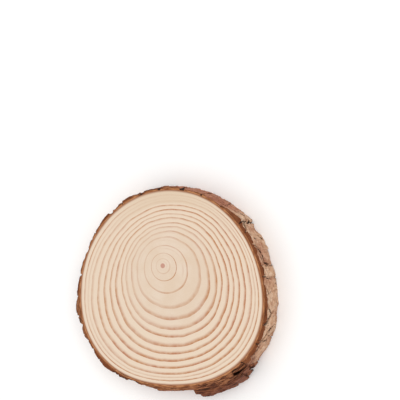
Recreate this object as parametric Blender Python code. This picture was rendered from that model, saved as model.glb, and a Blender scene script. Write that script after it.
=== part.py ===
"""A round slice sawn across a young conifer stem, with its bark left on.

The slice grew as one piece, so it is one solid: wood with a ring of bark round its rim. It lies flat on
its back cut face. The origin is under the middle of its bounding box, on that face, and +Z is its thickness.
"""

import math
import random

import bmesh
import bpy

MM = 0.001

# The blank
THICKNESS = 14.0 * MM
COLUMNS = 360
ROWS = 6

# The wood under the bark: a mean radius, and the lobes of a stem that isn't quite round.
# Each lobe is (how many times it repeats round the stem, height, direction in degrees).
WOOD_RADIUS = 48.95 * MM
WOOD_LOBES = ((2, 0.65 * MM, -12), (3, 1.3 * MM, -29), (4, 0.45 * MM, 50))

# Bark thickness at each place round the rim, counter-clockwise from +X: (degrees, thickness)
BARK = (
    (0, 2.3 * MM),
    (12, 2.9 * MM),
    (26, 3.1 * MM),
    (39, 2.6 * MM),
    (42, 3.7 * MM),
    (55, 2.0 * MM),
    (72, 1.9 * MM),
    (91, 2.0 * MM),
    (104, 1.7 * MM),
    (118, 2.1 * MM),
    (135, 1.9 * MM),
    (150, 1.5 * MM),
    (170, 1.5 * MM),
    (184, 2.2 * MM),
    (193, 3.4 * MM),
    (198.6, 3.1 * MM),
    (200.4, 2.0 * MM),
    (206, 2.4 * MM),
    (216, 1.9 * MM),
    (222, 2.8 * MM),
    (229, 3.2 * MM),
    (238, 2.4 * MM),
    (246, 1.8 * MM),
    (259, 2.4 * MM),
    (264, 3.2 * MM),
    (284.4, 2.8 * MM),
    (285.4, 5.0 * MM),
    (287.6, 5.1 * MM),
    (288.6, 6.4 * MM),
    (300, 5.6 * MM),
    (308.4, 5.7 * MM),
    (313.4, 5.5 * MM),
    (314.8, 4.0 * MM),
    (317.4, 3.9 * MM),
    (318.6, 2.3 * MM),
    (320.5, 3.5 * MM),
    (335, 3.1 * MM),
    (345, 2.8 * MM),
    (360, 2.3 * MM),
)

# The thick bark left between these angles flares out towards the back face.
CHUNK_START = 285
CHUNK_END = 310
CHUNK_FLARE = 0.9 * MM
# Its ends lean: at the back face they come CHUNK_LEAN degrees sooner. The lean fades out towards
# CHUNK_REACH degrees on either side of CHUNK_MIDDLE.
CHUNK_LEAN = 5.0
CHUNK_MIDDLE = 300
CHUNK_REACH = 32

# Fissures between the bark plates: (angle at mid thickness in degrees, depth)
FISSURES = (
    (14.6, 0.9 * MM),
    (41, 1.3 * MM),
    (57, 1.0 * MM),
    (70, 1.2 * MM),
    (84, 1.3 * MM),
    (97, 1.0 * MM),
    (108, 1.1 * MM),
    (121, 1.1 * MM),
    (131, 1.2 * MM),
    (146, 0.7 * MM),
    (158, 0.9 * MM),
    (171, 0.8 * MM),
    (184, 0.5 * MM),
    (196.5, 0.7 * MM),
    (221, 0.5 * MM),
    (236, 0.6 * MM),
    (262, 0.6 * MM),
    (275, 0.5 * MM),
    (319.5, 1.3 * MM),
    (334.5, 0.8 * MM),
    (359.6, 0.6 * MM),
)
FISSURE_HALF_WIDTH = 1.2 * MM
FISSURE_SLANT = 3.0
LEAST_BARK = 0.6 * MM

SEED = 11
WOOD_COLOUR = (0.78, 0.62, 0.46, 1.0)
BARK_COLOUR = (0.25, 0.12, 0.07, 1.0)


def turn_between(angle, other):
    """The signed angle from other to angle, between -180 and 180 degrees."""
    return (angle - other + 180) % 360 - 180


def ease(share):
    share = min(max(share, 0.0), 1.0)
    return share * share * (3 - 2 * share)


def wood_radius(angle):
    lobes = sum(height * math.cos(math.radians(times * (angle - peak))) for times, height, peak in WOOD_LOBES)
    return WOOD_RADIUS + lobes


def bark_thickness(angle):
    for (start, before), (end, after) in zip(BARK, BARK[1:]):
        if start <= angle <= end:
            return before + (after - before) * ease((angle - start) / (end - start))
    return BARK[0][1]


def lean(angle, height):
    """The angle to read the bark's thickness at, so that the ends of the thick chunk lean."""
    away = abs(turn_between(angle, CHUNK_MIDDLE)) / CHUNK_REACH
    return (angle + CHUNK_LEAN * (1 - height / THICKNESS) * ease((1 - away) * 2.5)) % 360


def chunk_flare(angle, height):
    """Extra bark on the thick chunk, most at the back face and none at the front."""
    inside = ease((angle - CHUNK_START) / 2) * ease((CHUNK_END - angle) / 2)
    return CHUNK_FLARE * inside * (1 - height / THICKNESS)


def make_fissures():
    """(angle, slant in degrees from back to front, depth) of each fissure."""
    draw = random.Random(SEED)
    return [(angle, draw.uniform(-FISSURE_SLANT, FISSURE_SLANT), depth) for angle, depth in FISSURES]


def fissure_depth(angle, height, fissures):
    deepest = 0.0
    for middle, slant, depth in fissures:
        place = middle + slant * (height / THICKNESS - 0.5)
        away = abs(math.radians(turn_between(angle, place))) * WOOD_RADIUS
        deepest = max(deepest, depth * ease(1 - away / FISSURE_HALF_WIDTH))
    return deepest


def rim_radius(angle, height, fissures):
    leaned = lean(angle, height)
    bark = bark_thickness(leaned) + chunk_flare(leaned, height)
    cut = min(fissure_depth(angle, height, fissures), bark - LEAST_BARK)
    return wood_radius(angle) + bark - cut


def make_blank():
    """A plain round blank of unit radius, with enough columns and rows for the bark's plates."""
    blank = bmesh.new()
    bmesh.ops.create_cone(blank, cap_ends=True, segments=COLUMNS, radius1=1, radius2=1, depth=THICKNESS)
    bmesh.ops.translate(blank, verts=blank.verts, vec=(0, 0, THICKNESS / 2))
    uprights = [edge for edge in blank.edges if edge.verts[0].co.z != edge.verts[1].co.z]
    bmesh.ops.subdivide_edges(blank, edges=uprights, cuts=ROWS - 1, use_grid_fill=True)
    return blank


def shape_rim(blank):
    fissures = make_fissures()
    for vert in blank.verts:
        direction = math.atan2(vert.co.y, vert.co.x)
        radius = rim_radius(math.degrees(direction) % 360, vert.co.z, fissures)
        vert.co.x = radius * math.cos(direction)
        vert.co.y = radius * math.sin(direction)


def centre_on_origin(mesh):
    """Moves the slice so that its bounding box is centred on the Z axis."""
    across = [vert.co.x for vert in mesh.verts]
    along = [vert.co.y for vert in mesh.verts]
    middle = ((min(across) + max(across)) / 2, (min(along) + max(along)) / 2)
    bmesh.ops.translate(mesh, verts=mesh.verts, vec=(-middle[0], -middle[1], 0))


def make_material(name, colour, roughness):
    material = bpy.data.materials.new(name)
    material.use_nodes = True
    shader = material.node_tree.nodes["Principled BSDF"]
    shader.inputs["Base Color"].default_value = colour
    shader.inputs["Roughness"].default_value = roughness
    shader.inputs["Metallic"].default_value = 0.0
    return material


def make_wood_slice(collection):
    blank = make_blank()
    shape_rim(blank)
    centre_on_origin(blank)
    for face in blank.faces:
        face.material_index = 0 if abs(face.normal.z) > 0.99 else 1
        face.smooth = face.material_index == 1
    mesh = bpy.data.meshes.new("wood_slice")
    blank.to_mesh(mesh)
    blank.free()
    mesh.materials.append(make_material("sanded_end_grain", WOOD_COLOUR, 0.6))
    mesh.materials.append(make_material("rough_bark", BARK_COLOUR, 0.9))
    wood_slice = bpy.data.objects.new("wood_slice", mesh)
    collection.objects.link(wood_slice)
    return wood_slice


def main():
    for old in list(bpy.data.objects):
        bpy.data.objects.remove(old, do_unlink=True)
    collection = bpy.data.collections.new("wood_slice")
    bpy.context.scene.collection.children.link(collection)
    make_wood_slice(collection)


main()
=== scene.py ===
"""A bark-on slice of a young conifer stem, lying on a pale floor under soft studio light.

It is laid out as an add-on: the settings hold the sizes and colours, one operator makes each piece, and
main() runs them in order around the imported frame. Lengths are metres, and angles run counter-clockwise
from +X.
"""

import itertools
import math
import random

import bmesh
import bpy
import numpy as np
from mathutils import Matrix, Vector


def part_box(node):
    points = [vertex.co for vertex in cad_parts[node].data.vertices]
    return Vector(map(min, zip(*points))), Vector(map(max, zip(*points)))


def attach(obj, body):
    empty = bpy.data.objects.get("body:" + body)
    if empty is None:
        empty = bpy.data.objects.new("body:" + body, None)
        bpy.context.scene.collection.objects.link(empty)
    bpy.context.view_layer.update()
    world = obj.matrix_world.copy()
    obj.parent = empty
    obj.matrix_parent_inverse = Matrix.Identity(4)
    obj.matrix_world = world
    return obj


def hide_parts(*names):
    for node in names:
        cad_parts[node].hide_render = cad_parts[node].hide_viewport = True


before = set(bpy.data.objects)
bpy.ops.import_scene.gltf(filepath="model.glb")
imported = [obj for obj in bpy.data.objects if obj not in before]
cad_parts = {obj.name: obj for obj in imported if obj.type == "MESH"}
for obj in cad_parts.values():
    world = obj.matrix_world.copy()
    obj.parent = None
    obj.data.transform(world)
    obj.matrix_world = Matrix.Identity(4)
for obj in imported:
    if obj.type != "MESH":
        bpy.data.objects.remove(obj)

bl_info = {
    "name": "Wood Slice",
    "version": (1, 0, 0),
    "blender": (4, 5, 0),
    "location": "View3D > Sidebar > Wood Slice",
    "description": "Makes a slice of a young conifer stem, with its year rings and its bark",
    "category": "Object",
}

MM = 0.001
CAD_NODE = "wood_slice"
CAD_LOWEST, CAD_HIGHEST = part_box(CAD_NODE)
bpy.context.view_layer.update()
THICKNESS = CAD_HIGHEST.z - CAD_LOWEST.z

# The wood under the bark: a mean radius, and the lobes of a stem that isn't quite round.
# Each lobe is (how many times it repeats round the stem, height, direction in degrees).
WOOD_RADIUS = 48.95 * MM
WOOD_LOBES = ((2, 0.65 * MM, -12), (3, 1.3 * MM, -29), (4, 0.45 * MM, 50))

# How the stem grew. It leaned, so its rings are wide on one side of the pith: their middle drifts from the
# pith to the middle of the wood, bowing towards +X on the way. The lobe that repeats twice turns as it
# grows, from YOUNG_DIRECTION degrees at the pith.
PITH = (-3.9 * MM, 12.0 * MM)
DRIFT_BOW = 2.4 * MM
YOUNG_DIRECTION = 130

# Mean radius of the dark line that ends each year, and how dark it is, from the pith outwards
YEARS = (
    (3.9 * MM, 0.25),
    (7.0 * MM, 0.60),
    (12.0 * MM, 0.42),
    (17.7 * MM, 0.36),
    (21.8 * MM, 0.55),
    (25.3 * MM, 0.58),
    (28.0 * MM, 0.72),
    (31.6 * MM, 0.85),
    (34.4 * MM, 0.72),
    (37.4 * MM, 0.98),
    (40.4 * MM, 0.95),
    (43.4 * MM, 0.72),
    (45.1 * MM, 0.38),
    (46.8 * MM, 0.95),
    (48.95 * MM, 0.50),
)

# The years past PALE_YEAR grew fast and barely darkened, within PALE_REACH degrees of PALE_DIRECTION.
PALE_DIRECTION = 92
PALE_REACH = 60
PALE_YEAR = 11.1

# The summer wood's mean darkness, how much it swings round the stem, and where it is darkest, in radians
# clockwise from +X
LATE_DARKNESS = 1.09
LATE_SWING = 0.32
LATE_TURN = 0.45

# Bark thickness at each place round the rim: (degrees, thickness)
BARK = (
    (0, 2.3 * MM),
    (12, 2.9 * MM),
    (26, 3.1 * MM),
    (39, 2.6 * MM),
    (42, 3.7 * MM),
    (55, 2.0 * MM),
    (72, 1.9 * MM),
    (91, 2.0 * MM),
    (104, 1.7 * MM),
    (118, 2.1 * MM),
    (135, 1.9 * MM),
    (150, 1.5 * MM),
    (170, 1.5 * MM),
    (184, 2.2 * MM),
    (193, 3.4 * MM),
    (198.6, 3.1 * MM),
    (200.4, 2.0 * MM),
    (206, 2.4 * MM),
    (216, 1.9 * MM),
    (222, 2.8 * MM),
    (229, 3.2 * MM),
    (238, 2.4 * MM),
    (246, 1.8 * MM),
    (259, 2.4 * MM),
    (264, 3.2 * MM),
    (284.4, 2.8 * MM),
    (285.4, 5.0 * MM),
    (287.6, 5.1 * MM),
    (288.6, 6.4 * MM),
    (300, 5.6 * MM),
    (308.4, 5.7 * MM),
    (310.6, 1.7 * MM),
    (317.5, 1.6 * MM),
    (320.5, 3.5 * MM),
    (335, 3.1 * MM),
    (345, 2.8 * MM),
    (360, 2.3 * MM),
)

# The thick chunk of bark left between these angles flares out towards the back face.
CHUNK_START = 285
CHUNK_END = 310
CHUNK_FLARE = 0.9 * MM
# Its ends lean: at the back face they come CHUNK_LEAN degrees sooner. The lean fades out towards
# CHUNK_REACH degrees on either side of CHUNK_MIDDLE.
CHUNK_LEAN = 5.0
CHUNK_MIDDLE = 300
CHUNK_REACH = 32

# Fissures between the bark plates: (degrees, half width, depth)
FISSURES = (
    (8.0, 0.12 * MM, 0.5 * MM),
    (14.6, 0.15 * MM, 0.9 * MM),
    (24.5, 0.1 * MM, 0.5 * MM),
    (41.0, 0.25 * MM, 1.3 * MM),
    (57, 0.3 * MM, 1.0 * MM),
    (70, 0.5 * MM, 1.2 * MM),
    (84, 0.9 * MM, 1.3 * MM),
    (97, 0.6 * MM, 1.0 * MM),
    (108, 1.1 * MM, 1.1 * MM),
    (121, 0.4 * MM, 1.1 * MM),
    (131, 0.8 * MM, 1.2 * MM),
    (146, 0.4 * MM, 0.7 * MM),
    (158, 0.9 * MM, 0.9 * MM),
    (171, 0.4 * MM, 0.8 * MM),
    (184, 0.15 * MM, 0.5 * MM),
    (196.5, 0.25 * MM, 0.7 * MM),
    (205, 0.15 * MM, 0.5 * MM),
    (214, 0.2 * MM, 0.4 * MM),
    (221, 0.15 * MM, 0.5 * MM),
    (236, 0.4 * MM, 0.6 * MM),
    (244, 0.3 * MM, 0.5 * MM),
    (255, 0.2 * MM, 0.5 * MM),
    (262, 0.3 * MM, 0.6 * MM),
    (275, 0.2 * MM, 0.5 * MM),
    (319.5, 0.4 * MM, 1.3 * MM),
    (334.5, 0.2 * MM, 0.8 * MM),
    (359.6, 0.12 * MM, 0.6 * MM),
)
# From face to face each one shifts by up to FISSURE_SLANT degrees either way. Its walls slope over
# FISSURE_WALL.
FISSURE_SLANT = 3.0
FISSURE_WALL = 0.45 * MM
FISSURE_SEED = 11

# Scales lifting on the +X side: the line of each edge as (degrees, distance below the front face), its depth,
# and the width of the lowered ground beside it. That ground is on the front side of a line drawn
# counter-clockwise, and on the back side of one drawn clockwise.
LIFTED_SCALES = (
    (((15.3, 9.5 * MM), (16.5, 5.5 * MM), (23, 5.0 * MM), (28, 0.3 * MM)), 1.1 * MM, 1.9 * MM),
    (((15.0, 3.2 * MM), (20, 2.6 * MM), (26, 0.2 * MM)), 0.8 * MM, 0.9 * MM),
    (((8.5, 0.0 * MM), (7.5, 4.0 * MM), (6.4, 7.5 * MM)), 0.9 * MM, 1.1 * MM),
    (((-18, 0.0 * MM), (-15, 2.2 * MM), (-12.2, 5.5 * MM), (-11.2, 8.5 * MM)), 1.3 * MM, 1.6 * MM),
    (((-11, 4.2 * MM), (-8.5, 1.8 * MM), (-6, 1.2 * MM)), 0.8 * MM, 0.9 * MM),
    (((-29, 0.0 * MM), (-25, 2.6 * MM), (-21, 5.6 * MM), (-18.5, 10.5 * MM)), 1.5 * MM, 1.5 * MM),
    (((-27, 4.6 * MM), (-24, 7.0 * MM), (-22, 12.0 * MM)), 1.2 * MM, 1.2 * MM),
    (((-36, 0.4 * MM), (-31, 1.6 * MM), (-26.5, 4.0 * MM)), 1.3 * MM, 1.4 * MM),
    (((-1, 3.2 * MM), (2, 1.2 * MM), (5, 1.0 * MM)), 0.6 * MM, 0.9 * MM),
    (((35.5, 0.2 * MM), (38, 1.8 * MM), (41.5, 2.4 * MM), (42.5, 8.0 * MM)), 1.3 * MM, 1.6 * MM),
    (((46, 9.0 * MM), (54, 4.5 * MM), (62, 5.5 * MM)), 0.8 * MM, 1.4 * MM),
    (((30, 12.5 * MM), (34, 8.5 * MM), (38, 9.5 * MM)), 0.7 * MM, 1.2 * MM),
)

# Small dark holes in the bark: (degrees, distance below the front face, radius, depth)
PITS = (
    (30, 4.6 * MM, 0.8 * MM, 1.4 * MM),
    (118, 6.0 * MM, 0.9 * MM, 1.2 * MM),
    (213, 8.0 * MM, 0.7 * MM, 1.0 * MM),
)

# Where the bark has come away from the wood: (degrees, half its length in degrees, gap)
GAPS = ((239, 7, 0.5 * MM), (109, 3, 0.4 * MM))

# Strips that the chunk's far end has split into:
# (start in degrees, end in degrees, distance off the wood, thickness, lift at the end)
SPLINTERS = (
    (300, 313.6, 5.1 * MM, 1.3 * MM, 0.3 * MM),
    (302, 317.6, 3.9 * MM, 0.9 * MM, 0.15 * MM),
    (307.5, 319.4, 2.1 * MM, 1.0 * MM, 0.2 * MM),
)
SPLINTER_ROWS = 28
SPLINTER_COLUMNS_A_DEGREE = 5
SPLINTER_SHARP = math.radians(45)

# Sides where the weather has turned the plates tan: (degrees, half the length in degrees)
WEATHERED_SIDES = ((5, 58), (150, 40), (225, 25))

# Sides where the outer plates have broken off, down to red-brown layers:
# (degrees, half the length in degrees)
BROKEN_SIDES = ((301, 24), (101, 12), (176, 9))

# Small places where the bark's front edge gets painted shade, near black: (degrees, half the length in
# degrees)
SHADED_FRONT_SIDES = ((198.4, 2.2), (237.5, 6.5))

# What the weather has worn off the bark all round
WORN_OFF = 0.15 * MM
# No fissure, scale or pit cuts through more than DEEPEST_CUT of the bark, or leaves less than LEAST_BARK
# under its fine ribs.
LEAST_BARK = 0.35 * MM
DEEPEST_CUT = 0.75
# Scales flake off until MOST_LOST of them are gone, and each one's edge takes up SCALE_EDGE of its step.
MOST_LOST = 3.5
SCALE_EDGE = 0.12
# Hollows this deep get the darkest painted shade. The painted shade on the shaded front sides fades out over
# this drop below the front face, and is at most this dark.
DARK_DEPTH = 1.2 * MM
FRONT_SHADE_DROP = 2.5 * MM
FRONT_SHADE_DARKNESS = 0.5
# How far the bark's inner side starts inside the wood's edge, so that no crack shows between them
TUCKED_IN = 0.12 * MM
# The layers in the bark's textures run round the stem: the way round is squeezed to LAYER_SQUEEZE, and up
# the outside they change with LAYER_RISE of the height.
LAYER_SQUEEZE = 0.12
LAYER_RISE = 0.45
BARK_SHARP = math.radians(55)
PLATE_SEED = 3

# The stage: softboxes as (name, place, width, power, colour), and how bright the room is round them
LIGHTS = (
    ("key_softbox", (0.4, 0.25, 0.9), 0.7, 2.4, "#FFFAF4"),
    ("fill_softbox", (-0.6, -0.3, 0.8), 0.8, 0.9, "#FFFFFF"),
)
ROOM_LIGHT = 0.92
NEAREST_SEEN = 0.01

# Random numbers for the noise, the same on every run, and large numbers that spread a lattice over them
RANDOM_COUNT = 65536
RANDOM_VALUES = np.random.default_rng(5).uniform(-1, 1, RANDOM_COUNT)
LATTICE_SPREAD = (73856093, 19349663, 83492791)
SEED_SPREAD = 40503
CELL_JITTER = 0.4


# ---------------------------------------------------------------- settings


class WoodSettings(bpy.types.PropertyGroup):
    """The sawn wood inside the bark."""

    columns: bpy.props.IntProperty(
        name="Columns", description="Steps round the wood's mesh", default=320, min=24
    )
    rows_a_year: bpy.props.IntProperty(
        name="Rows a year", description="Rows of faces in each year ring", default=4, min=1
    )
    waver: bpy.props.FloatProperty(
        name="Waver", description="How far the rings wander", default=0.3 * MM, unit="LENGTH"
    )
    early_colour: bpy.props.StringProperty(
        name="Earlywood", description="Colour of the pale spring wood", default="#D6C1AB"
    )
    late_colour: bpy.props.StringProperty(
        name="Latewood", description="Colour of the dark summer wood", default="#B47C52"
    )
    pith_colour: bpy.props.StringProperty(
        name="Pith", description="Colour of the pith", default="#B98373"
    )
    cambium_colour: bpy.props.StringProperty(
        name="Cambium", description="Colour of the wood's edge under the bark", default="#8C5230"
    )


class BarkSettings(bpy.types.PropertyGroup):
    """The bark round the rim."""

    columns: bpy.props.IntProperty(
        name="Columns", description="Steps round the bark's mesh", default=1240, min=60
    )
    rows: bpy.props.IntProperty(
        name="Rows", description="Rows of faces from cut face to cut face", default=46, min=6
    )
    layers: bpy.props.IntProperty(
        name="Layers", description="Rows of faces across each sawn edge", default=14, min=3
    )
    scale_step: bpy.props.FloatProperty(
        name="Scale step", description="Thickness of one flaking scale", default=0.28 * MM, unit="LENGTH"
    )
    plate_colour: bpy.props.StringProperty(
        name="Plates", description="Weathered outside of the plates", default="#C49C7D"
    )
    under_colour: bpy.props.StringProperty(
        name="Under layers", description="Fresh layers that flaking scales uncover", default="#8C5340"
    )
    # Painted shade, near black, for the fissures, pits, splits and the other hollows
    crack_shade_colour: bpy.props.StringProperty(
        name="Fissures", description="Bottom of the fissures", default="#352016"
    )
    sawn_colour: bpy.props.StringProperty(
        name="Sawn edge", description="Corky layers cut through by the saw", default="#8A5636"
    )
    aged_colour: bpy.props.StringProperty(
        name="Aged edge", description="Sawn edge on the weathered sides", default="#6E3B20"
    )


class StageSettings(bpy.types.PropertyGroup):
    """The floor, the lights and the camera."""

    floor_size: bpy.props.FloatProperty(
        name="Floor", description="Width of the floor", default=6.0, unit="LENGTH"
    )
    floor_colour: bpy.props.StringProperty(
        name="Floor colour", description="Colour of the floor", default="#FAFAFA"
    )
    lens: bpy.props.FloatProperty(
        name="Lens", description="Focal length of the camera in mm", default=200.0
    )
    tilt: bpy.props.FloatProperty(
        name="Tilt",
        description="How far the camera leans from straight above, towards +X",
        default=math.radians(24),
        subtype="ANGLE",
    )
    view_width: bpy.props.FloatProperty(
        name="View width", description="Width of the picture at the slice", default=196 * MM, unit="LENGTH"
    )
    aim_right: bpy.props.FloatProperty(
        name="Aim right",
        description="How far the picture's middle is right of the wood's",
        default=14.75 * MM,
        unit="LENGTH",
    )
    aim_up: bpy.props.FloatProperty(
        name="Aim up",
        description="How far the picture's middle is above the wood's",
        default=44.25 * MM,
        unit="LENGTH",
    )


# ---------------------------------------------------------------- shapes shared by the pieces


def ease(share):
    """0 below 0, 1 above 1, and a smooth rise between."""
    share = np.clip(share, 0.0, 1.0)
    return share * share * (3 - 2 * share)


def turn_between(turn, other):
    """The signed angle from other to turn, between half a turn back and half a turn on."""
    return (turn - other + math.pi) % (2 * math.pi) - math.pi


def wood_radius(turn):
    lobes = sum(
        height * np.cos(times * (turn - math.radians(peak))) for times, height, peak in WOOD_LOBES
    )
    return WOOD_RADIUS + lobes


def bark_thickness(turn):
    degrees = np.degrees(turn) % 360
    places, thicknesses = np.array(BARK).T
    after = np.searchsorted(places, degrees, side="right").clip(1, len(places) - 1)
    share = ease((degrees - places[after - 1]) / (places[after] - places[after - 1]))
    return thicknesses[after - 1] + (thicknesses[after] - thicknesses[after - 1]) * share


def chunk_flare(turn, height):
    """Extra bark on the thick chunk, most at the back face and none at the front."""
    degrees = np.degrees(turn) % 360
    inside = ease((degrees - CHUNK_START) / 2) * ease((CHUNK_END - degrees) / 2)
    return CHUNK_FLARE * inside * (1 - height / THICKNESS)


def side_share(turn, sides):
    """1 in the middle of each side, and 0 past its ends."""
    share = np.zeros_like(turn)
    for degrees, half_length in sides:
        away = np.abs(turn_between(turn, math.radians(degrees))) / math.radians(half_length)
        share = np.maximum(share, ease((1 - away) * 2.5))
    return share


def lean(turn, height):
    """The direction to read the bark's thickness at, because the chunk's ends lean."""
    back = 1 - height / THICKNESS
    return turn + math.radians(CHUNK_LEAN) * back * side_share(turn, ((CHUNK_MIDDLE, CHUNK_REACH),))


def bark_outline(turn, height):
    """How far the bark's outside is from the wood, before it is weathered."""
    leaning = lean(turn, height)
    return bark_thickness(leaning) + chunk_flare(leaning, height)


def middle_of_outline():
    """The middle of the bark's bounding box, which the frame has on its Z axis."""
    turn = np.linspace(0, 2 * math.pi, 720, endpoint=False)
    reach = wood_radius(turn) + bark_outline(turn, 0.0)
    ends = np.array([[reach * np.cos(turn)], [reach * np.sin(turn)]])
    return (ends.min(2) + ends.max(2)).ravel() / 2


def places_round(turn, height):
    """Where each direction and height is on a plain cylinder, to read noise at."""
    return np.stack([WOOD_RADIUS * np.cos(turn), WOOD_RADIUS * np.sin(turn), height], 1)


def lattice_value(corner, seed):
    """A random number from -1 to 1 for each corner of a lattice."""
    across, along, up = (corner * LATTICE_SPREAD).T
    key = across ^ along ^ up ^ (seed * SEED_SPREAD)
    return RANDOM_VALUES[(key ^ (key >> 15)) & (RANDOM_COUNT - 1)]


def rough(places, size, seed=0):
    """Smooth noise from -1 to 1, with lumps of this size, or of one size for each axis."""
    scaled = places / np.asarray(size)
    corner = np.floor(scaled).astype(np.int64)
    share = ease(scaled - corner)
    total = np.zeros(len(scaled))
    for step in itertools.product((0, 1), repeat=3):
        weight = np.prod(np.where(step, share, 1 - share), axis=1)
        total += weight * lattice_value(corner + step, seed)
    return total


def cell_distance(places, size, seed=0):
    """How far the nearest middle of a pattern of uneven cells is, counted in cells."""
    scaled = places / np.asarray(size)
    corner = np.floor(scaled).astype(np.int64)
    nearest = np.full(len(scaled), 9.0)
    for step in itertools.product((-1, 0, 1), repeat=3):
        other = corner + step
        jitter = np.stack([lattice_value(other, seed + axis) for axis in range(3)], 1)
        away = np.linalg.norm(other + 0.5 + CELL_JITTER * jitter - scaled, axis=1)
        nearest = np.minimum(nearest, away)
    return nearest


# ---------------------------------------------------------------- mesh helpers


def rolled(profile, columns, closed_profile, turns=(0.0, 2 * math.pi)):
    """A grid rolled round Z: its rows follow a profile of (reach, height), and its columns go round.

    A closed profile and a whole turn are welded, and the ends of a part turn are filled.
    """
    points = list(profile) + [profile[0]] * closed_profile
    shape = bmesh.new()
    bmesh.ops.create_grid(shape, x_segments=columns, y_segments=len(points) - 1, size=1)
    for vert in shape.verts:
        turn = turns[0] + (turns[1] - turns[0]) * (vert.co.x + 1) / 2
        reach, height = points[round((vert.co.y + 1) / 2 * (len(points) - 1))]
        vert.co = (reach * math.cos(turn), reach * math.sin(turn), height)
    bmesh.ops.remove_doubles(shape, verts=shape.verts, dist=1e-6)
    open_edges = [edge for edge in shape.edges if edge.is_boundary]
    if open_edges:
        bmesh.ops.holes_fill(shape, edges=open_edges, sides=0)
    bmesh.ops.recalc_face_normals(shape, faces=shape.faces)
    return shape


def as_piece(name, shape, materials):
    """Makes the object of a finished bmesh, at the origin."""
    mesh = bpy.data.meshes.new(name)
    shape.to_mesh(mesh)
    shape.free()
    for material in materials:
        mesh.materials.append(material)
    piece = bpy.data.objects.new(name, mesh)
    bpy.context.scene.collection.objects.link(piece)
    return piece


def places_of(mesh):
    places = np.empty(len(mesh.vertices) * 3, np.float32)
    mesh.vertices.foreach_get("co", places)
    return places.reshape(-1, 3).astype(float)


def move_to(mesh, places):
    mesh.vertices.foreach_set("co", places.astype(np.float32).ravel())
    mesh.update()


def read_roll(mesh):
    """Each point's direction, its share of the way from inner side to outer side, and its height."""
    places = places_of(mesh)
    turn = np.arctan2(places[:, 1], places[:, 0]) % (2 * math.pi)
    return turn, np.hypot(places[:, 0], places[:, 1]) - 1, places[:, 2]


def wrap_round(mesh, turn, reach, height):
    """Moves each point to its reach from the wood's middle, with the bark's outline centred on the Z axis."""
    middle = middle_of_outline()
    move_to(mesh, np.stack([reach * np.cos(turn) - middle[0], reach * np.sin(turn) - middle[1], height], 1))


def keep_number(mesh, name, values):
    """Stores one number a vertex, for the material to read."""
    attribute = mesh.attributes.new(name, "FLOAT", "POINT")
    attribute.data.foreach_set("value", np.asarray(values, np.float32))


# ---------------------------------------------------------------- material helpers


def linear(colour):
    """An sRGB hex colour as linear RGBA."""
    parts = [int(colour[at : at + 2], 16) / 255 for at in (1, 3, 5)]
    parts = [part / 12.92 if part <= 0.04045 else ((part + 0.055) / 1.055) ** 2.4 for part in parts]
    return (*parts, 1.0)


def per(size):
    """The texture scale that gives features of this size, in metres."""
    return 1 / size


def add(tree, kind, inputs=None, **settings):
    """Adds a node. settings are its own properties, and inputs are values, or sockets to link from."""
    made = tree.nodes.new("ShaderNode" + kind)
    for name, value in settings.items():
        setattr(made, name, value)
    for key, value in (inputs or {}).items():
        if isinstance(value, bpy.types.NodeSocket):
            tree.links.new(value, made.inputs[key])
        else:
            made.inputs[key].default_value = value
    return made


def new_material(name):
    material = bpy.data.materials.new(name)
    material.use_nodes = True
    material.node_tree.nodes.clear()
    return material, material.node_tree


def blended(tree, share, below, above):
    """The colour below where share is 0, and above where it is 1."""
    return add(tree, "Mix", {0: share, 6: below, 7: above}, data_type="RGBA").outputs[2]


def between(tree, value, start, end, low=0.0, high=1.0):
    """A smooth step of value from start to end, drawn as low to high."""
    inputs = {"Value": value, "From Min": start, "From Max": end, "To Min": low, "To Max": high}
    return add(tree, "MapRange", inputs, interpolation_type="SMOOTHSTEP").outputs["Result"]


def maths(tree, operation, *values):
    return add(tree, "Math", dict(enumerate(values)), operation=operation).outputs[0]


def surface(tree, colour, roughness, specular, bump, bump_depth):
    """A rough natural surface: the shader, its bump and the output."""
    raised = add(tree, "Bump", {"Strength": 1.0, "Distance": bump_depth, "Height": bump})
    inputs = {"Base Color": colour, "Roughness": roughness, "Normal": raised.outputs[0]}
    shader = add(tree, "BsdfPrincipled", inputs)
    shader.inputs["Specular IOR Level"].default_value = specular
    add(tree, "OutputMaterial", {"Surface": shader.outputs[0]})


# ---------------------------------------------------------------- wood


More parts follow.
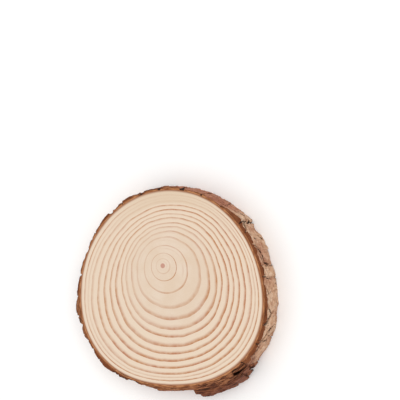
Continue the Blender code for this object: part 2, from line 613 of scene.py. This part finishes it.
def sanded_end_grain(settings):
    """Softwood end grain, sawn and sanded, unvarnished.

    Each year is pale spring wood that darkens to a tan summer line and ends sharply. Sanded end grain is
    matt and slightly mottled, because its open cells drink the light unevenly.
    """
    material, tree = new_material("sanded_softwood_end_grain")
    place = add(tree, "TexCoord").outputs["Object"]
    age, strength, width, from_bark, fast_grown = (
        add(tree, "Attribute", attribute_name=name).outputs["Fac"]
        for name in ("age", "late_strength", "late_width", "from_bark", "fast_grown")
    )
    mottle, patches, grain = (
        add(tree, "TexNoise", {"Vector": place, "Scale": per(size), "Detail": detail}).outputs["Fac"]
        for size, detail in ((9 * MM, 3.0), (2.2 * MM, 4.0), (0.35 * MM, 2.0))
    )

    # Summer wood, and a faint false ring before it where the mottle is strong
    within = maths(tree, "FRACT", age)
    late_start = maths(tree, "SUBTRACT", 1.0, width)
    late = between(tree, within, late_start, 0.93)
    uneven = between(tree, patches, 0.25, 0.75, 0.7, 1.15)
    late = maths(tree, "MULTIPLY", maths(tree, "MULTIPLY", late, strength), uneven)
    false_ring = maths(tree, "MULTIPLY", between(tree, within, 0.42, 0.6), between(tree, within, 0.66, 0.6))
    false_ring = maths(tree, "MULTIPLY", false_ring, between(tree, mottle, 0.45, 0.7, 0.0, 0.22))
    late = maths(tree, "MAXIMUM", late, false_ring)

    # Spring wood, paler in the outer years and duller where it grew fast
    early = blended(tree, between(tree, mottle, 0.3, 0.7), linear(settings.early_colour), linear("#DBC9B6"))
    early = blended(tree, between(tree, age, 3.0, 8.0), early, linear("#DDCAB5"))
    early = blended(tree, fast_grown, early, linear("#D5C0A8"))
    browner = between(tree, mottle, 0.35, 0.65)
    dark = blended(tree, browner, linear(settings.late_colour), linear("#B27A5B"))
    colour = blended(tree, late, early, dark)
    edge = between(tree, from_bark, 1.1 * MM, 0.0, 0.0, 0.9)
    colour = blended(tree, edge, colour, linear(settings.cambium_colour))
    colour = blended(tree, between(tree, age, 0.36, 0.26, 0.0, 0.85), colour, linear(settings.pith_colour))
    shade = between(tree, grain, 0.3, 0.7, 0.0, 0.07)
    colour = blended(tree, shade, colour, linear("#A98763"))
    height = maths(tree, "ADD", maths(tree, "MULTIPLY", late, 0.5), grain)
    surface(tree, colour, 0.62, 0.25, height, 0.03 * MM)
    return material


def cambium(settings):
    """The outside of the wood where bark has come away: smooth, red-brown, finely ribbed up the stem."""
    material, tree = new_material("bare_cambium")
    place = add(tree, "TexCoord").outputs["Object"]
    drawn_out = add(tree, "Mapping", {"Vector": place, "Scale": (1, 1, 0.15)}).outputs[0]
    ribs = add(tree, "TexNoise", {"Vector": drawn_out, "Scale": per(0.8 * MM), "Detail": 3.0}).outputs["Fac"]
    share = between(tree, ribs, 0.3, 0.7)
    colour = blended(tree, share, linear(settings.cambium_colour), linear("#5E3018"))
    surface(tree, colour, 0.7, 0.3, ribs, 0.1 * MM)
    return material


def year_rows(rows_a_year):
    """Share of the wood's radius at each row of faces, with a row on every year's dark line."""
    radii = [0.0] + [radius for radius, _ in YEARS]
    rows = [0.0]
    for inner, outer in zip(radii, radii[1:]):
        width = outer - inner
        rows += [(inner + width * step / rows_a_year) / radii[-1] for step in range(1, rows_a_year + 1)]
    return rows


def ring_places(share, turn, waver):
    """Where each point of each growth ring is, from the middle of the wood.

    The rings' own middles drift from the pith to the middle of the stem as it grew, and its lobes swell.
    """
    reach = share * WOOD_RADIUS
    for times, height, direction in WOOD_LOBES:
        grown, peak = share**2, direction
        if times == 2:
            grown, peak = ease(1.6 * share), YOUNG_DIRECTION + (direction - YOUNG_DIRECTION) * share**3
        reach = reach + height * grown * np.cos(times * (turn - np.radians(peak)))
    flat = np.stack([reach * np.cos(turn), reach * np.sin(turn), np.zeros_like(turn)], 1)
    wander = rough(flat, 7 * MM, 1) + 0.6 * rough(flat, 3.2 * MM, 2)
    reach = reach + waver * wander * np.sqrt(np.sin(math.pi * share.clip(0, 1))) * (3 * share).clip(0, 1)
    young = 1 - ease(share)
    middle_x = PITH[0] * young + DRIFT_BOW * np.sin(math.pi * share) ** 2
    middle_y = PITH[1] * young
    return middle_x + reach * np.cos(turn), middle_y + reach * np.sin(turn)


def make_wood(settings):
    """The wood as a disc whose rings of faces are its year rings, so that age is known everywhere."""
    rows = year_rows(settings.rows_a_year)
    profile = [(share, THICKNESS) for share in rows] + [(1.0, THICKNESS / 2)]
    profile += [(share, 0.0) for share in reversed(rows)]
    shape = rolled(profile, settings.columns, False)
    for face in shape.faces:
        face.material_index = int(abs(face.normal.z) < 0.5)
        face.smooth = face.material_index == 1
    wood = as_piece("sawn_wood", shape, [sanded_end_grain(settings), cambium(settings)])
    mesh = wood.data
    places = places_of(mesh)
    share = np.hypot(places[:, 0], places[:, 1]).clip(0, 1)
    turn = np.arctan2(places[:, 1], places[:, 0])

    radii = np.array([0.0] + [radius for radius, _ in YEARS]) / WOOD_RADIUS
    darkness = np.array([YEARS[0][1]] + [dark for _, dark in YEARS])
    age = np.interp(share, radii, np.arange(len(radii)))
    from_pale_side = np.abs(turn_between(turn, math.radians(PALE_DIRECTION))) / math.radians(PALE_REACH)
    pale = ease(1 - from_pale_side) * ease((age - PALE_YEAR) / 0.4)
    # The summer wood is broadest on the -Y side.
    low_side = 0.5 - 0.5 * np.sin(turn)
    year = np.ceil(age - 1e-4).astype(int).clip(0, len(YEARS))
    strength = darkness[year] * (LATE_DARKNESS + LATE_SWING * np.cos(turn + LATE_TURN)) * (1 - 0.8 * pale)
    strength *= 1 + 0.25 * rough(np.stack([np.cos(turn) * 3, np.sin(turn) * 3, age], 1), 1.0, 5)
    width = 0.16 + (0.3 + 0.08 * low_side) * ease((age - 2.5) / 3)
    keep_number(mesh, "age", age)
    keep_number(mesh, "late_strength", strength.clip(0, 1))
    keep_number(mesh, "late_width", width)
    keep_number(mesh, "fast_grown", pale)
    keep_number(mesh, "from_bark", (1 - share) * WOOD_RADIUS)

    middle = middle_of_outline()
    across, along = ring_places(share, turn, settings.waver)
    move_to(mesh, np.stack([across - middle[0], along - middle[1], places[:, 2]], 1))
    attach(wood, "root")
    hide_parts(CAD_NODE)


# ---------------------------------------------------------------- bark


def weathered_bark(settings):
    """Conifer bark seen from outside: corky plates weathered to a dull tan, flaking in thin scales.

    A scale that has dropped off shows the fresh red-brown layer under it. The fissures, pits and other
    hollows get near-black painted shade.
    Cork is matt and fibrous, with its fibres up the stem.
    """
    material, tree = new_material("weathered_conifer_bark")
    place = add(tree, "TexCoord").outputs["Object"]
    layer, depth, plate, weather, broken, out = (
        add(tree, "Attribute", attribute_name=name).outputs["Fac"]
        for name in ("layer", "depth", "plate", "weather", "broken", "from_wood")
    )
    layers_at = add(tree, "Attribute", attribute_name="layers").outputs["Vector"]
    bend = add(tree, "TexNoise", {"Vector": place, "Scale": per(2.5 * MM), "Detail": 3.0}).outputs["Color"]
    bend = add(tree, "VectorMath", {0: bend, "Scale": 1.6 * MM}, operation="SCALE").outputs[0]
    bent = add(tree, "VectorMath", {0: place, 1: bend}, operation="ADD").outputs[0]
    drawn_out = add(tree, "Mapping", {"Vector": place, "Scale": (1, 1, 0.22)}).outputs[0]
    lines, blotch, fibre, grit, patches = (
        add(tree, "TexNoise", {"Vector": at, "Scale": per(size), "Detail": detail}).outputs["Fac"]
        for at, size, detail in (
            (layers_at, 0.5 * MM, 3.0),
            (place, 4 * MM, 4.0),
            (drawn_out, 0.7 * MM, 5.0),
            (place, 0.5 * MM, 3.0),
            (bent, 1.9 * MM, 2.0),
        )
    )
    plaques = {"Vector": bent, "Scale": per(3.4 * MM)}
    cracks = add(tree, "TexVoronoi", plaques, feature="DISTANCE_TO_EDGE").outputs["Distance"]

    # Plates: tan where they are weathered, redder elsewhere, each in its own tone
    tan = blended(tree, between(tree, blotch, 0.4, 0.62), linear(settings.plate_colour), linear("#D3B195"))
    tan = blended(tree, maths(tree, "MULTIPLY", plate, 0.4), tan, linear("#B08467"))
    red = blended(tree, between(tree, blotch, 0.35, 0.62), linear("#935740"), linear("#B47A60"))
    red = blended(tree, maths(tree, "MULTIPLY", plate, 0.5), red, linear("#A88672"))
    tan = blended(tree, between(tree, patches, 0.52, 0.66, 0.0, 0.5), tan, linear("#DCC0A6"))
    plates = blended(tree, weather, red, tan)
    plates = blended(tree, between(tree, patches, 0.46, 0.34, 0.0, 0.55), plates, linear("#8F644C"))
    # Broken sides: torn red-brown layers, darker further out, with dark lines where the layers part
    torn = blended(tree, between(tree, lines, 0.36, 0.62), linear("#5A2C1A"), linear("#935A3E"))
    plates = blended(tree, broken, plates, torn)
    outer = between(tree, out, 3.6 * MM, 5.6 * MM, 0.0, 0.4)
    plates = blended(tree, maths(tree, "MULTIPLY", broken, outer), plates, linear("#54281C"))
    parting = between(tree, lines, 0.46, 0.38, 0.0, 0.7)
    plates = blended(tree, maths(tree, "MULTIPLY", broken, parting), plates, linear("#34190F"))
    # Fresh layers where scales have dropped off, then fibres, pale grit, hair cracks, and painted shade in
    # the fissures and other hollows
    under = blended(tree, between(tree, blotch, 0.35, 0.6), linear(settings.under_colour), linear("#AC6B4F"))
    uncovered = maths(tree, "MULTIPLY", layer, between(tree, weather, 0.0, 1.0, 0.6, 0.55))
    colour = blended(tree, uncovered, plates, under)
    colour = blended(tree, between(tree, fibre, 0.46, 0.26, 0.0, 0.5), colour, linear("#6B432F"))
    colour = blended(tree, between(tree, grit, 0.6, 0.75, 0.0, 0.25), colour, linear("#D9BBA2"))
    here_and_there = between(tree, blotch, 0.5, 0.64, 0.0, 0.8)
    cracked = maths(tree, "MULTIPLY", between(tree, cracks, 0.06, 0.0), here_and_there)
    colour = blended(tree, cracked, colour, linear("#4A2C1E"))
    # Painted shade from the depth attribute: fissures, pits, splits, the lifted scales' edges, under the
    # strips and on the shaded front sides
    colour = blended(tree, between(tree, depth, 0.15, 0.7), colour, linear(settings.crack_shade_colour))
    height = maths(tree, "ADD", maths(tree, "MULTIPLY", fibre, 1.2), grit)
    height = maths(tree, "SUBTRACT", height, cracked)
    surface(tree, colour, 0.88, 0.2, height, 0.18 * MM)
    return material


def sawn_bark(settings):
    """Bark cut across by the saw: orange-brown inner bark, then brown cork in layers that follow the stem.

    The cork is darker on the weathered sides, where its cut edge has aged.
    """
    material, tree = new_material("sawn_conifer_bark")
    place = add(tree, "TexCoord").outputs["Object"]
    out, depth, edge, weather, broken = (
        add(tree, "Attribute", attribute_name=name).outputs["Fac"]
        for name in ("from_wood", "depth", "from_outside", "weather", "broken")
    )
    layers_at = add(tree, "Attribute", attribute_name="layers").outputs["Vector"]
    lines, blotch, grit = (
        add(tree, "TexNoise", {"Vector": at, "Scale": per(size), "Detail": 3.0}).outputs["Fac"]
        for at, size in ((layers_at, 0.42 * MM), (place, 3 * MM), (place, 0.4 * MM))
    )

    cork = blended(tree, between(tree, blotch, 0.35, 0.65), linear(settings.sawn_colour), linear("#A06C4A"))
    cork = blended(tree, between(tree, lines, 0.55, 0.4, 0.0, 0.85), cork, linear("#5B331F"))
    torn = maths(tree, "MULTIPLY", broken, between(tree, lines, 0.58, 0.44, 0.15, 1.0))
    cork = blended(tree, torn, cork, linear("#70402A"))
    outer = between(tree, out, 3.0 * MM, 5.2 * MM, 0.0, 0.5)
    cork = blended(tree, maths(tree, "MULTIPLY", broken, outer), cork, linear("#5E2F22"))
    parting = maths(tree, "MULTIPLY", broken, between(tree, lines, 0.5, 0.43, 0.0, 0.75))
    cork = blended(tree, parting, cork, linear("#3C2018"))
    cork = blended(tree, maths(tree, "MULTIPLY", weather, 0.88), cork, linear(settings.aged_colour))
    fresh = blended(tree, between(tree, lines, 0.4, 0.6), linear("#8F5733"), linear("#BC8459"))
    colour = blended(tree, between(tree, out, 0.25 * MM, 1.0 * MM), fresh, cork)
    colour = blended(tree, between(tree, edge, 0.35 * MM, 0.05 * MM, 0.0, 0.5), colour, linear("#4A2A1C"))
    colour = blended(tree, between(tree, grit, 0.58, 0.75, 0.0, 0.3), colour, linear("#D2A987"))
    # Painted shade in the fissures, splits and other hollows that the saw cut through
    colour = blended(tree, between(tree, depth, 0.1, 0.7), colour, linear(settings.crack_shade_colour))
    height = maths(tree, "ADD", lines, grit)
    surface(tree, colour, 0.9, 0.15, height, 0.15 * MM)
    return material


def fissure_cut(turn, height, around):
    """How deep the fissures are at each point, and which plate it is on."""
    deepest = np.zeros_like(turn)
    plate = np.zeros(len(turn), int)
    wander = 0.8 * MM * rough(around, (3 * MM, 3 * MM, 2.5 * MM), 3) + 0.35 * MM * rough(around, 1.1 * MM, 4)
    ragged = 1 + 0.5 * rough(around, 1.6 * MM, 8)
    draw = random.Random(FISSURE_SEED)
    for degrees, half_width, depth in FISSURES:
        slant = math.radians(draw.uniform(-FISSURE_SLANT, FISSURE_SLANT))
        place = math.radians(degrees) + slant * (height / THICKNESS - 0.5)
        away = turn_between(turn, place) * WOOD_RADIUS + wander
        wall = (half_width * ragged - np.abs(away)) / FISSURE_WALL
        deepest = np.maximum(deepest, depth * ease(wall + 0.5))
        plate += turn * WOOD_RADIUS + wander > place * WOOD_RADIUS
    return deepest, plate % len(FISSURES)


def lifted_scales(turn, height, around):
    """How far the ground is lowered beside each lifting edge, and the painted shade along it."""
    along = turn_between(turn, 0.0) * WOOD_RADIUS + 0.45 * MM * rough(around, 1.5 * MM, 21)
    below = THICKNESS - height + 0.45 * MM * rough(around, 1.5 * MM, 22)
    lowered = np.zeros_like(turn)
    dark = np.zeros_like(turn)
    ragged = np.clip(0.65 + 0.6 * rough(around, 1.6 * MM, 23), 0.2, 1.2)
    for line, depth, width in LIFTED_SCALES:
        nearest = np.full(len(turn), 1.0)
        side = np.zeros_like(turn)
        for (start_turn, start_below), (end_turn, end_below) in zip(line, line[1:]):
            start = math.radians(start_turn) * WOOD_RADIUS
            run, drop = math.radians(end_turn - start_turn) * WOOD_RADIUS, end_below - start_below
            share = ((along - start) * run + (below - start_below) * drop) / (run * run + drop * drop)
            share = share.clip(0, 1)
            off_x, off_y = along - start - share * run, below - start_below - share * drop
            away = np.hypot(off_x, off_y)
            closer = away < nearest
            nearest = np.where(closer, away, nearest)
            side = np.where(closer, np.sign(run * off_y - drop * off_x), side)
        low_side = ease(1 - nearest / width) ** 1.5
        high_side = ease(1 - nearest / (0.25 * MM))
        lowered = np.maximum(lowered, depth * np.where(side < 0, low_side, high_side))
        last_turn, last_below = line[-1]
        from_end = np.hypot(along - math.radians(last_turn) * WOOD_RADIUS, below - last_below)
        # Painted shade along each edge: full on the lowered side under the lifted scale, 0.6 on the high
        # side, fading near the line's end
        edge = ease(1 - nearest / (0.8 * MM * ragged)) * ease(from_end / (3.5 * MM) + 0.15)
        dark = np.maximum(dark, edge * np.where(side < 0, 1.0, 0.6))
    return lowered, dark


def pits(turn, height, around):
    """How deep the small holes are."""
    sunk = np.zeros_like(turn)
    uneven = 1 + 0.55 * rough(around, 0.9 * MM, 24)
    for degrees, below, radius, depth in PITS:
        along = turn_between(turn, math.radians(degrees)) * WOOD_RADIUS
        away = np.hypot(0.75 * along, THICKNESS - height - below) * uneven
        sunk = np.maximum(sunk, depth * ease(1.35 - away / radius))
    return sunk


def shade_under_strips(turn, height):
    """Painted shade on the ground under the strips at the chunk's far end."""
    degrees = np.degrees(lean(turn, height)) % 360
    return 0.8 * ease((degrees - 309.6) / 1.2) * ease((315 - degrees) / 3)


def bark_relief(settings, turn, height):
    """The bark's outside: how far it stands off the wood, and the numbers that colour it."""
    around = places_round(turn, height)
    full = bark_outline(turn, height)
    fissured, plate = fissure_cut(turn, height, around)
    lowered, dark = lifted_scales(turn, height, around)
    sunk = pits(turn, height, around)
    chance = np.random.default_rng(PLATE_SEED).uniform(0, 1, (2, len(FISSURES)))
    tone, lost = chance[0][plate], chance[1][plate]

    nearest = cell_distance(around, (6 * MM, 6 * MM, 8 * MM), 1)
    drift = rough(around, (5 * MM, 5 * MM, 7 * MM), 6) + 0.35 * rough(around, 1.2 * MM, 7)
    level = 2.0 * nearest + 2.0 * drift + 1.8 * lost - 0.6
    level = np.clip(level, 0, MOST_LOST)
    broken = side_share(turn, BROKEN_SIDES)
    step = (np.floor(level) + ease((level % 1 - (1 - SCALE_EDGE)) / SCALE_EDGE)) * (1 - 0.8 * broken)
    ledges = 0.5 * MM * broken * rough(around, (16 * MM, 16 * MM, 0.9 * MM), 16)
    ribs = 0.09 * MM * rough(around, (0.8 * MM, 0.8 * MM, 4 * MM), 9)
    ribs = ribs + 0.06 * MM * rough(around, 0.5 * MM, 10)
    waves = 0.3 * MM * np.clip(rough(around, (4 * MM, 4 * MM, 5 * MM), 13), 0, 1)
    from_cut = np.minimum(height, THICKNESS - height)
    chips = 0.45 * MM * np.clip(rough(around, 2.2 * MM, 12), 0, 1) * np.exp(-from_cut / (0.7 * MM))

    off_wood = full - WORN_OFF - settings.scale_step * step - waves - chips + ribs + ledges
    cut = np.maximum(np.maximum(fissured, lowered), sunk)
    off_wood = off_wood - np.minimum(cut, full * DEEPEST_CUT)
    off_wood = np.maximum(off_wood, LEAST_BARK + ribs)
    # Painted shade: fissures and pits darken with their depth, on top of the painted shade along the lifted
    # scales
    dark = np.maximum(dark, np.maximum(fissured, sunk) / DARK_DEPTH).clip(0, 1)
    # Painted shade under the strips at the chunk's far end
    dark = np.maximum(dark, shade_under_strips(turn, height))
    # Painted shade on the shaded front sides, fading with the drop below the front face
    front_shade = side_share(turn + 0.03 * drift, SHADED_FRONT_SIDES) * np.exp(-(THICKNESS - height) / FRONT_SHADE_DROP)
    dark = np.maximum(dark, FRONT_SHADE_DARKNESS * front_shade)
    return off_wood, np.clip(step / 3, 0, 1), dark, tone


def bark_gap(turn):
    """How far the bark's inner side stands off the wood."""
    gap = np.zeros_like(turn)
    for degrees, half_length, width in GAPS:
        away = np.abs(turn_between(turn, math.radians(degrees))) / math.radians(half_length)
        gap = np.maximum(gap, width * ease(1 - away))
    return gap


def keep_layers(mesh, turn, off_wood):
    """Stores a place squeezed along the stem's outline, so that a texture read there runs in long layers."""
    layers = mesh.attributes.new("layers", "FLOAT_VECTOR", "POINT")
    squeezed = WOOD_RADIUS * LAYER_SQUEEZE
    spread = np.stack([squeezed * np.cos(turn), squeezed * np.sin(turn), off_wood], 1)
    layers.data.foreach_set("vector", spread.astype(np.float32).ravel())


def make_bark(settings):
    """A closed ring: inner side against the wood, two sawn edges, and a finely modelled outside."""
    across = [1 + step / settings.layers for step in range(settings.layers + 1)]
    down = [THICKNESS * (1 - step / settings.rows) for step in range(settings.rows + 1)]
    profile = [(reach, THICKNESS) for reach in across] + [(2.0, height) for height in down[1:-1]]
    profile += [(reach, 0.0) for reach in reversed(across)] + [(1.0, THICKNESS / 2)]
    shape = rolled(profile, settings.columns, True)
    for face in shape.faces:
        face.material_index = int(abs(face.normal.z) > 0.5)
        face.smooth = True
    bark = as_piece("bark_ring", shape, [weathered_bark(settings), sawn_bark(settings)])
    mesh = bark.data
    turn, outward, height = read_roll(mesh)

    off_wood, layer, dark, tone = bark_relief(settings, turn, height)
    gap = bark_gap(turn) - TUCKED_IN
    stands_off = gap + (off_wood - gap) * outward
    around = places_round(turn, stands_off * 4)
    torn = np.clip(0.12 + 0.2 * rough(around, (4 * MM, 4 * MM, 2.5 * MM), 14), 0.03, 0.4) * MM
    split = np.clip(rough(around, (9 * MM, 9 * MM, 2.2 * MM), 15) - 0.35, 0, 1)
    split = split * ease(stands_off / (1.2 * MM))
    sawn = (height > THICKNESS * 0.999).astype(float) - (height < THICKNESS * 0.001)
    low = height - sawn * (torn + 0.8 * MM * split * (outward < 0.99) * (outward > 0.01))
    reach = wood_radius(turn) + stands_off

    keep_number(mesh, "layer", layer)
    # Painted shade: the outside's shade fading towards the inner side, and shade in the splits that dip into
    # the sawn faces
    keep_number(mesh, "depth", np.maximum(dark * ease((outward - 0.35) / 0.5), 1.3 * split * (sawn != 0)))
    keep_number(mesh, "plate", tone)
    patchy = turn + 0.09 * rough(places_round(turn, height), (5 * MM, 5 * MM, 6 * MM), 17) * (sawn == 0)
    keep_number(mesh, "weather", side_share(patchy, WEATHERED_SIDES))
    keep_number(mesh, "broken", side_share(patchy, BROKEN_SIDES))
    keep_number(mesh, "from_wood", stands_off)
    keep_number(mesh, "from_outside", off_wood - stands_off)
    keep_layers(mesh, turn, stands_off + LAYER_RISE * height * (sawn == 0))

    wrap_round(mesh, turn, reach, low)
    mesh.set_sharp_from_angle(angle=BARK_SHARP)
    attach(bark, "root")
    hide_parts(CAD_NODE)


def make_splinter(settings, number):
    """One strip of the split chunk: a thin curved slab as high as the slice, with a torn end."""
    start, end, off_wood, thickness, lift = SPLINTERS[number]
    down = [step / SPLINTER_ROWS for step in range(SPLINTER_ROWS + 1)]
    profile = [(1.0, 1 - share) for share in down] + [(2.0, share) for share in down]
    columns = round((end - start) * SPLINTER_COLUMNS_A_DEGREE)
    shape = rolled(profile, columns, True, (math.radians(start), math.radians(end)))
    for face in shape.faces:
        face.smooth = True
    strip = as_piece(f"bark_splinter_{number + 1}", shape, [weathered_bark(settings), sawn_bark(settings)])
    mesh = strip.data
    turn, outward, share_up = read_roll(mesh)
    height = share_up * THICKNESS
    along = ((np.degrees(turn) - start) / (end - start)).clip(0, 1)

    around = places_round(turn, height)
    flare = 0.5 * CHUNK_FLARE * (1 - height / THICKNESS)
    flare = flare + 0.25 * MM * rough(around, (3 * MM, 3 * MM, 4 * MM), 31 + number)
    body = thickness * (1 + 0.25 * rough(around, 1.5 * MM, 41 + number)) * (1 - 0.35 * along**3)
    stands_off = off_wood + lift * along**2 + flare + body * (outward - 0.5)
    stands_off = stands_off - 1.2 * MM * ease(1 - along / 0.65)
    torn_end = math.radians(1.6) * rough(around, (40 * MM, 40 * MM, 2.2 * MM), 51 + number) * along**4
    sunk = np.clip(0.15 + 0.3 * rough(around, 3 * MM, 61 + number), 0.05, 0.5) * MM + 0.8 * MM * along**6
    sunk = sunk + 1.2 * MM * ease(1 - along / 0.35)
    height = sunk + (THICKNESS - 2 * sunk) * share_up
    turn = turn + torn_end - math.radians(0.6 * CHUNK_LEAN) * (1 - height / THICKNESS) * along

    for name, values in (
        ("layer", 0.4 + 0.4 * rough(around, 3 * MM, 71)),
        # Painted shade on each strip's inner side, facing the bark behind it
        ("depth", np.where(outward < 0.5, 0.45, 0.1)),
        ("plate", np.full(len(turn), 0.5)),
        ("weather", np.full(len(turn), 0.0)),
        ("broken", np.full(len(turn), 1.0)),
        ("from_wood", stands_off),
        ("from_outside", np.full(len(turn), 1 * MM)),
    ):
        keep_number(mesh, name, values)
    keep_layers(mesh, turn, stands_off + LAYER_RISE * height)
    wrap_round(mesh, turn, wood_radius(turn) + stands_off, height)
    mesh.set_sharp_from_angle(angle=SPLINTER_SHARP)
    for face in mesh.polygons:
        face.material_index = int(abs(face.normal.z) > 0.7)
    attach(strip, "root")
    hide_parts(CAD_NODE)


# ---------------------------------------------------------------- stage


def matt_floor(settings):
    """Matt white paper backdrop."""
    material, tree = new_material("matt_backdrop_paper")
    shader = add(tree, "BsdfPrincipled", {"Base Color": linear(settings.floor_colour), "Roughness": 0.9})
    shader.inputs["Specular IOR Level"].default_value = 0.1
    add(tree, "OutputMaterial", {"Surface": shader.outputs[0]})
    return material


def make_floor(settings):
    shape = bmesh.new()
    bmesh.ops.create_grid(shape, x_segments=1, y_segments=1, size=settings.floor_size / 2)
    floor = as_piece("floor", shape, [matt_floor(settings)])


def add_light(name, place, size, power, colour):
    """A round softbox that faces the origin."""
    lamp = bpy.data.lights.new(name, "AREA")
    lamp.shape = "DISK"
    lamp.size = size
    lamp.energy = power
    lamp.color = linear(colour)[:3]
    light = bpy.data.objects.new(name, lamp)
    light.location = place
    light.rotation_euler = (-Vector(place)).to_track_quat("-Z", "Y").to_euler()
    bpy.context.scene.collection.objects.link(light)


def make_world():
    world = bpy.data.worlds.new("soft_room")
    world.use_nodes = True
    world.node_tree.nodes["Background"].inputs["Color"].default_value = linear("#FFFFFF")
    world.node_tree.nodes["Background"].inputs["Strength"].default_value = ROOM_LIGHT
    bpy.context.scene.world = world


def make_camera(settings):
    """Looks down on the slice from over its +X side, with +Y up in the picture."""
    towards = Vector((math.sin(settings.tilt), 0, math.cos(settings.tilt)))
    right = Vector((math.cos(settings.tilt), 0, -math.sin(settings.tilt)))
    up = Vector((0, 1, 0))
    data = bpy.data.cameras.new("camera")
    data.lens = settings.lens
    data.clip_start = NEAREST_SEEN
    distance = settings.view_width / 2 / math.tan(data.angle / 2)
    wood = Vector((*-middle_of_outline(), THICKNESS))
    aim = wood + right * settings.aim_right + up * settings.aim_up
    camera = bpy.data.objects.new("camera", data)
    facing = Matrix((right, up, towards)).transposed().to_4x4()
    camera.matrix_world = Matrix.Translation(aim + towards * distance) @ facing
    bpy.context.scene.collection.objects.link(camera)
    bpy.context.scene.camera = camera


# ---------------------------------------------------------------- operators and panel


class WOODSLICE_OT_wood(bpy.types.Operator):
    """Make the sawn wood with its year rings"""

    bl_idname = "wood_slice.wood"
    bl_label = "Sawn Wood"

    def execute(self, context):
        make_wood(context.scene.wood_slice_wood)
        return {"FINISHED"}


class WOODSLICE_OT_bark(bpy.types.Operator):
    """Make the bark round the rim"""

    bl_idname = "wood_slice.bark"
    bl_label = "Bark"

    def execute(self, context):
        make_bark(context.scene.wood_slice_bark)
        return {"FINISHED"}


class WOODSLICE_OT_splinter(bpy.types.Operator):
    """Make one strip of the split bark"""

    bl_idname = "wood_slice.splinter"
    bl_label = "Bark Splinter"

    number: bpy.props.IntProperty(name="Number", description="Which strip to make", default=0, min=0)

    def execute(self, context):
        make_splinter(context.scene.wood_slice_bark, self.number)
        return {"FINISHED"}


class WOODSLICE_OT_stage(bpy.types.Operator):
    """Make the floor, the lights and the camera"""

    bl_idname = "wood_slice.stage"
    bl_label = "Stage"

    def execute(self, context):
        settings = context.scene.wood_slice_stage
        make_floor(settings)
        make_world()
        for light in LIGHTS:
            add_light(*light)
        make_camera(settings)
        context.scene.view_settings.view_transform = "Standard"
        return {"FINISHED"}


class WOODSLICE_PT_panel(bpy.types.Panel):
    """The wood slice's pieces and settings"""

    bl_idname = "WOODSLICE_PT_panel"
    bl_label = "Wood Slice"
    bl_space_type = "VIEW_3D"
    bl_region_type = "UI"
    bl_category = "Wood Slice"

    def draw(self, context):
        groups = (
            (WOODSLICE_OT_wood, context.scene.wood_slice_wood),
            (WOODSLICE_OT_bark, context.scene.wood_slice_bark),
            (WOODSLICE_OT_splinter, context.scene.wood_slice_bark),
            (WOODSLICE_OT_stage, context.scene.wood_slice_stage),
        )
        for operator, settings in groups:
            box = self.layout.box()
            for name in settings.__annotations__:
                box.prop(settings, name)
            box.operator(operator.bl_idname)


CLASSES = (
    WoodSettings,
    BarkSettings,
    StageSettings,
    WOODSLICE_OT_wood,
    WOODSLICE_OT_bark,
    WOODSLICE_OT_splinter,
    WOODSLICE_OT_stage,
    WOODSLICE_PT_panel,
)


def register():
    for made in CLASSES:
        bpy.utils.register_class(made)
    bpy.types.Scene.wood_slice_wood = bpy.props.PointerProperty(type=WoodSettings)
    bpy.types.Scene.wood_slice_bark = bpy.props.PointerProperty(type=BarkSettings)
    bpy.types.Scene.wood_slice_stage = bpy.props.PointerProperty(type=StageSettings)


def unregister():
    for name in ("wood_slice_wood", "wood_slice_bark", "wood_slice_stage"):
        delattr(bpy.types.Scene, name)
    for made in reversed(CLASSES):
        bpy.utils.unregister_class(made)


def main():
    register()
    bpy.ops.wood_slice.wood()
    bpy.ops.wood_slice.bark()
    for number in range(len(SPLINTERS)):
        bpy.ops.wood_slice.splinter(number=number)
    bpy.ops.wood_slice.stage()


if __name__ == "__main__":
    main()
